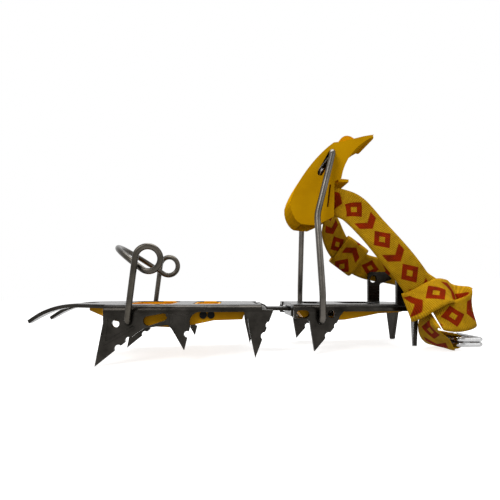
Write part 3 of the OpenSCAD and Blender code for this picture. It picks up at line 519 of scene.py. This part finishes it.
def strand(name, stations, node, start_u, share):
    """A strand from the lever, in two pieces that meet at a seam a share of the way along it."""
    path = smooth(stations, STRAND_STEPS)
    end = len(path) - 1
    seam = round(end * share)
    upper = strap_piece(name + "_upper", path, 0, seam, start_u)
    lower = strap_piece(name + "_lower", path, seam, end, start_u)
    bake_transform(upper)
    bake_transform(lower)
    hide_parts(node)
    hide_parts(node)


def stretch(name, stations, n, node, start_u, give=None):
    """A stretch on the heel section, which it rides unless it has give; with give it stays where
    it is built.
    """
    path = smooth(stations, n)
    made = strap_piece(name, path, 0, len(path) - 1, start_u)
    if give:
        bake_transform(made)
    else:
        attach(made, "heel_section")
    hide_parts(node)


strand("near_strand", NEAR, "strap_near_strand", 0.01, 0.45)
strand("far_strand", FAR, "strap_far_strand", 0.3, 5 / 8)
stretch("heel_run", HEEL_RUN, 8, "strap_heel_run", 0.42, (FAR_SEAM, FAR_HOLD))
stretch("far_band", BAND, 3, "strap_far_band", 0.6, (FAR_SEAM, FAR_HOLD))
stretch("tail_fold", TAIL, 8, "strap_tail_fold", 0.7)
stretch("buckle_loop", LOOP, 4, "strap_buckle_loop", 0.95)


# ---- Rounded lip on the lever's beak

LIP_X, LIP_Z, LIP_R = 120.8, 141.2, 2.3
LEVER_HALF_W = 17.0

lip_mesh = bmesh.new()
# An odd number of rows leaves none on the middle, so the two halves can be drawn apart.
bmesh.ops.create_uvsphere(lip_mesh, u_segments=24, v_segments=15, radius=LIP_R)
for vert in lip_mesh.verts:
    x, z, y = vert.co
    y += math.copysign(LEVER_HALF_W - LIP_R, y)
    vert.co = row(LIP_X + x, y, LIP_Z + z)
for face in lip_mesh.faces:
    face.smooth = True
lip = add_mesh("beak_lip", lip_mesh, LEVER)
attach(lip, "heel_lever")


# ---- Stage, light and camera

floor_data = bpy.data.meshes.new("floor")
floor_data.from_pydata(
    [(-6, -6, FLOOR_Z), (6, -6, FLOOR_Z), (6, 12, FLOOR_Z), (-6, 12, FLOOR_Z)],
    [],
    [(0, 1, 2, 3)],
)
floor_finish = Finish("floor")
floor_data.materials.append(
    floor_finish.set(
        Base_Color=floor_finish.ramp(
            floor_finish.noise(3, 2), (0.48, 0.48, 0.48), (0.52, 0.52, 0.52)
        ),
        Roughness=0.8,
        Emission_Color=(1.0, 1.0, 1.0),
        Emission_Strength=0.8,
    )
)
floor = add_object("floor", floor_data)
floor.visible_diffuse = False  # it throws no light up under the part


def area_light(name, place, target, size, power):
    data = bpy.data.lights.new(name, "AREA")
    data.shape = "RECTANGLE"
    data.size, data.size_y = size
    data.energy = power
    made = add_object(name, data)
    made.location = place
    aim = Vector(target) - Vector(place)
    made.rotation_euler = aim.to_track_quat("-Z", "Y").to_euler()


area_light("key", (-0.55, -0.75, 0.9), (0, 0, 0.02), (0.5, 0.5), 6.5)
area_light("top", (0.1, 0.2, 1.1), (0, 0, 0), (0.9, 0.5), 12)
area_light("fill", (0.9, -0.6, 0.5), (0.05, 0, 0.03), (0.5, 0.5), 1.5)

# White to camera, glossy and transmission rays; a dimmer glow to all others
world = bpy.data.worlds.new("studio")
bpy.context.scene.world = world
world.use_nodes = True
tree = world.node_tree
tree.nodes.clear()


def background(strength):
    made = tree.nodes.new("ShaderNodeBackground")
    made.inputs["Color"].default_value = (1, 1, 1, 1)
    made.inputs["Strength"].default_value = strength
    return made.outputs[0]


def either(a, b):
    made = tree.nodes.new("ShaderNodeMath")
    made.operation = "MAXIMUM"
    tree.links.new(a, made.inputs[0])
    tree.links.new(b, made.inputs[1])
    return made.outputs[0]


rays = tree.nodes.new("ShaderNodeLightPath").outputs
mirrored = either(rays["Is Camera Ray"], rays["Is Glossy Ray"])
choice = tree.nodes.new("ShaderNodeMixShader")
out = tree.nodes.new("ShaderNodeOutputWorld")
tree.links.new(either(mirrored, rays["Is Transmission Ray"]), choice.inputs["Fac"])
tree.links.new(background(0.32), choice.inputs[1])
tree.links.new(background(1.0), choice.inputs[2])
tree.links.new(choice.outputs[0], out.inputs["Surface"])

# The camera fitted to the photograph, in its pixels
PICTURE = 500
FOCAL = 346
CENTRE_X, CENTRE_Y = 229, 288
CAMERA_AT = (0, -310, 13)
SENSOR = 36

camera_data = bpy.data.cameras.new("camera")
camera_data.sensor_width = SENSOR
camera_data.lens = SENSOR * FOCAL / PICTURE
camera_data.shift_x = (PICTURE / 2 - CENTRE_X) / PICTURE
camera_data.shift_y = (CENTRE_Y - PICTURE / 2) / PICTURE
camera_data.clip_start = 0.01
camera = add_object("camera", camera_data)
right, up = STANCE @ Vector((1, 0, 0)), STANCE @ Vector((0, 0, 1))
turn = Matrix((right, up, Vector((0, -1, 0)))).transposed().to_4x4()
camera.matrix_world = Matrix.Translation(row(*CAMERA_AT)) @ turn
bpy.context.scene.camera = camera
bpy.context.scene.view_settings.view_transform = "Standard"
